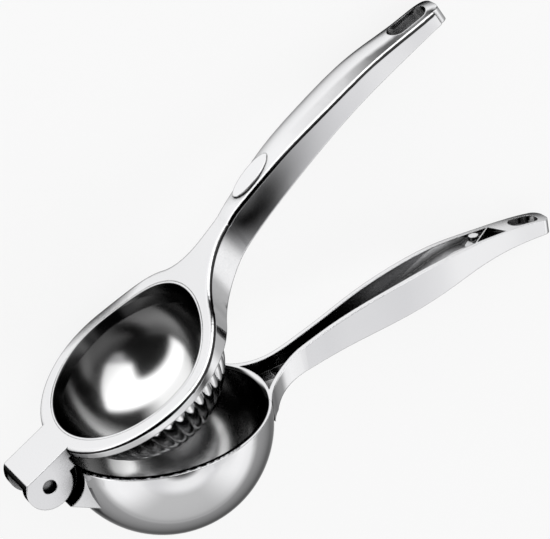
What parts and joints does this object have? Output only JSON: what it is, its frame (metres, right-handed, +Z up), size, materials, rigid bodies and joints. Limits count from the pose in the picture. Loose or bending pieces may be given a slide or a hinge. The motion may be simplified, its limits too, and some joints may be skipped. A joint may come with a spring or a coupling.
{
  "type": "lemon squeezer",
  "caption": "Hand lemon squeezer: a fluted press cup on an arched lever swings on a pin into a drain bowl on a channel-backed lever.",
  "frame": {"origin": "bottom centre of the bounding box, on the table that the tool lies on", "axes": "+Z up from the table, close to the hinge axis; +X along the lower lever, from the hinge to the handle end; +Y the way the bowl opens"},
  "size_m": [0.2026, 0.1422, 0.072],
  "materials": {
    "upper_metal": "mirror polished casting",
    "cup_metal": "mirror polished casting",
    "badge_metal": "polished plate, blank",
    "pin_metal": "ground pin",
    "lower_metal": "mirror polished casting"
  },
  "bodies": {
    "lower": {"lower_lever": "lower_metal"},
    "upper": {"upper_lever": "upper_metal", "press_cup": "cup_metal", "badge_plate": "badge_metal", "hinge_pin": "pin_metal"}
  },
  "joints": [
    {"name": "press_hinge", "type": "hinge", "parent": "lower", "child": "upper", "pos_m": [-0.09155, -0.03469, 0.04539], "axis": [0.2063, 0.0581, 0.9768], "range_deg": [-25.4, 90]}
  ]
}
